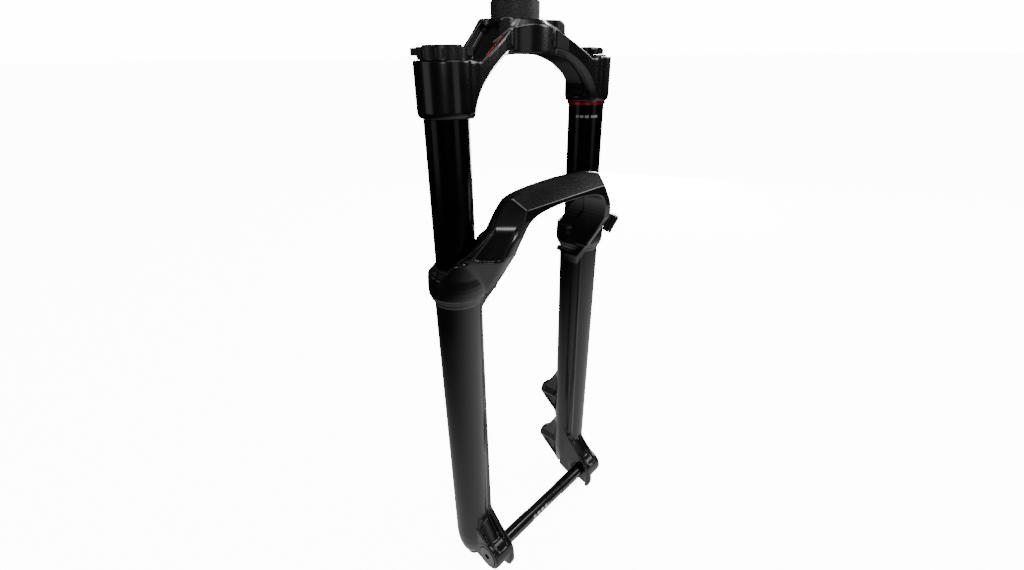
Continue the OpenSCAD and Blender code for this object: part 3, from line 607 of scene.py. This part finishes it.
# plain bars on the axle, on the side that faces forwards, and under the crown on the left stanchion
AXLE_FRONT = (1, AXLE_Y * MM, -1)
STANCHION_INSIDE = (0, LEG_X * MM, -1)
mats["stanchion_left"] = mats["stanchion_black"].copy()
print_bars(mats["axle_black"], 0, -0.026, 0.002, 0.0068, 0.62, 2, AXLE_Z * MM + 0.0015, 0.0026,
           AXLE_FRONT, 0.5)
print_bars(mats["axle_black"], 0, -0.066, -0.058, 0.004, 0.5, 2, AXLE_Z * MM + 0.0005, 0.0012,
           AXLE_FRONT, 0.35)
print_bars(mats["stanchion_left"], 1, LEG_Y * MM - 0.0165, LEG_Y * MM - 0.0005, 0.0042, 0.7, 2, -0.0795,
           0.0012, STANCHION_INSIDE, 0.4)
rough_band = material("race_seat_blasted", (0.010, 0.010, 0.011), 0.55, fleck=(0.11, 0.11, 0.115), bump=1.0,
                      bump_scale=1700)

slot_of = {s["node"]: s["material_slot"] for s in frame["record"]["subparts"]}
for name, node in frame["nodes"].items():
    node.data.materials.clear()
    node.data.materials.append(mats[name] if name == "stanchion_left" else mats[slot_of[name]])
    for face in node.data.polygons:
        face.material_index = 0

# the blasted band round the seat of the lower headset race
steerer = frame["nodes"]["steerer"].data
steerer.materials.append(rough_band)
for face in steerer.polygons:
    z = [steerer.vertices[i].co.z for i in face.vertices]
    if min(z) > -0.001 and max(z) < 0.0131:
        face.material_index = 1

crown = make_crown()
crown.data.materials.append(mats["crown_black"])
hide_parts("crown")
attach(crown, "crown_assembly")

for side, name in ((-1, "accent_line_right"), (1, "accent_line_left")):
    accent = accent_line(name, side)
    accent.data.materials.append(mats["red_anodised"])
    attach(accent, "crown_assembly")

lowers = make_lowers()
lowers.data.materials.append(mats["lowers_black"])
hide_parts("lower_legs")
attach(lowers, "lowers")

# ---------------------------------------------------------------- studio
FLOOR_Z = -0.5465


def stage_material(name, pool, shown):
    """White to the eye; what it reflects and lights is a soft pool of light round the object."""
    mat = bpy.data.materials.new(name)
    mat.use_nodes = True
    nodes, links = mat.node_tree.nodes, mat.node_tree.links
    nodes.clear()
    out = nodes.new("ShaderNodeOutputMaterial")
    place = nodes.new("ShaderNodeTexCoord")
    grow = nodes.new("ShaderNodeVectorMath")
    grow.operation = "LENGTH"
    links.new(place.outputs["Object"], grow.inputs[0])
    fall = nodes.new("ShaderNodeMapRange")
    fall.interpolation_type = "SMOOTHSTEP"
    fall.inputs["From Min"].default_value, fall.inputs["From Max"].default_value = 0.05, 0.95
    fall.inputs["To Min"].default_value, fall.inputs["To Max"].default_value = pool, 0.01
    links.new(grow.outputs["Value"], fall.inputs["Value"])
    dim = nodes.new("ShaderNodeEmission")
    links.new(fall.outputs["Result"], dim.inputs["Strength"])
    matt = nodes.new("ShaderNodeBsdfDiffuse")
    matt.inputs["Color"].default_value = (0.9, 0.9, 0.9, 1)
    glow = nodes.new("ShaderNodeEmission")
    glow.inputs["Strength"].default_value = shown
    both = nodes.new("ShaderNodeAddShader")
    links.new(matt.outputs[0], both.inputs[0])
    links.new(glow.outputs[0], both.inputs[1])
    path = nodes.new("ShaderNodeLightPath")
    pick = nodes.new("ShaderNodeMixShader")
    links.new(path.outputs["Is Camera Ray"], pick.inputs[0])
    links.new(dim.outputs[0], pick.inputs[1])
    links.new(both.outputs[0], pick.inputs[2])
    links.new(pick.outputs[0], out.inputs["Surface"])
    return mat


floor_mesh = bpy.data.meshes.new("floor")
FLOOR_HALF = 60
corners = [(sx * FLOOR_HALF, sy * FLOOR_HALF, 0) for sx, sy in ((-1, -1), (1, -1), (1, 1), (-1, 1))]
floor_mesh.from_pydata(corners, [], [(0, 1, 2, 3)])
floor = bpy.data.objects.new("floor", floor_mesh)
floor.location = (0.18, -0.32, FLOOR_Z)
bpy.context.scene.collection.objects.link(floor)
floor_mesh.materials.append(stage_material("floor_white", 1.0, 13.0))

world = bpy.data.worlds.new("studio")
bpy.context.scene.world = world
world.use_nodes = True
wn, wl = world.node_tree.nodes, world.node_tree.links
wn.clear()
w_out = wn.new("ShaderNodeOutputWorld")
w_seen = wn.new("ShaderNodeBackground")
w_seen.inputs["Color"].default_value = (1, 1, 1, 1)
w_seen.inputs["Strength"].default_value = 15.0
w_lit = wn.new("ShaderNodeBackground")
w_lit.inputs["Color"].default_value = (1, 1, 1, 1)
w_lit.inputs["Strength"].default_value = 0.05
w_path = wn.new("ShaderNodeLightPath")
w_pick = wn.new("ShaderNodeMixShader")
wl.new(w_path.outputs["Is Camera Ray"], w_pick.inputs[0])
wl.new(w_lit.outputs[0], w_pick.inputs[1])
wl.new(w_seen.outputs[0], w_pick.inputs[2])
wl.new(w_pick.outputs[0], w_out.inputs["Surface"])


def softbox(name, place, aim, width, height, watts):
    light = bpy.data.lights.new(name, "AREA")
    light.shape = "RECTANGLE"
    light.size, light.size_y = width, height
    light.energy = watts
    box = bpy.data.objects.new(name, light)
    box.location = place
    box.rotation_euler = (Vector(aim) - Vector(place)).to_track_quat("-Z", "Y").to_euler()
    bpy.context.scene.collection.objects.link(box)
    return box


softbox("key", (1.8, -0.9, 0.7), (0, -0.02, -0.25), 0.7, 1.2, 18)
softbox("rim", (1.7, 0.75, -0.1), (0, -0.02, -0.25), 0.5, 1.5, 40)
softbox("left_strip", (-1.7, 0.5, 0.1), (-0.05, -0.02, -0.25), 0.9, 1.6, 3.5)
softbox("front_strip", (0.2, -1.9, 0.1), (0, -0.02, -0.25), 0.8, 1.6, 3)
softbox("spark", (-1.1, -1.25, 0.25), (0, -0.02, -0.12), 0.3, 0.3, 4)
softbox("top", (0.5, -0.5, 1.6), (0, -0.02, -0.2), 1.0, 1.0, 12)
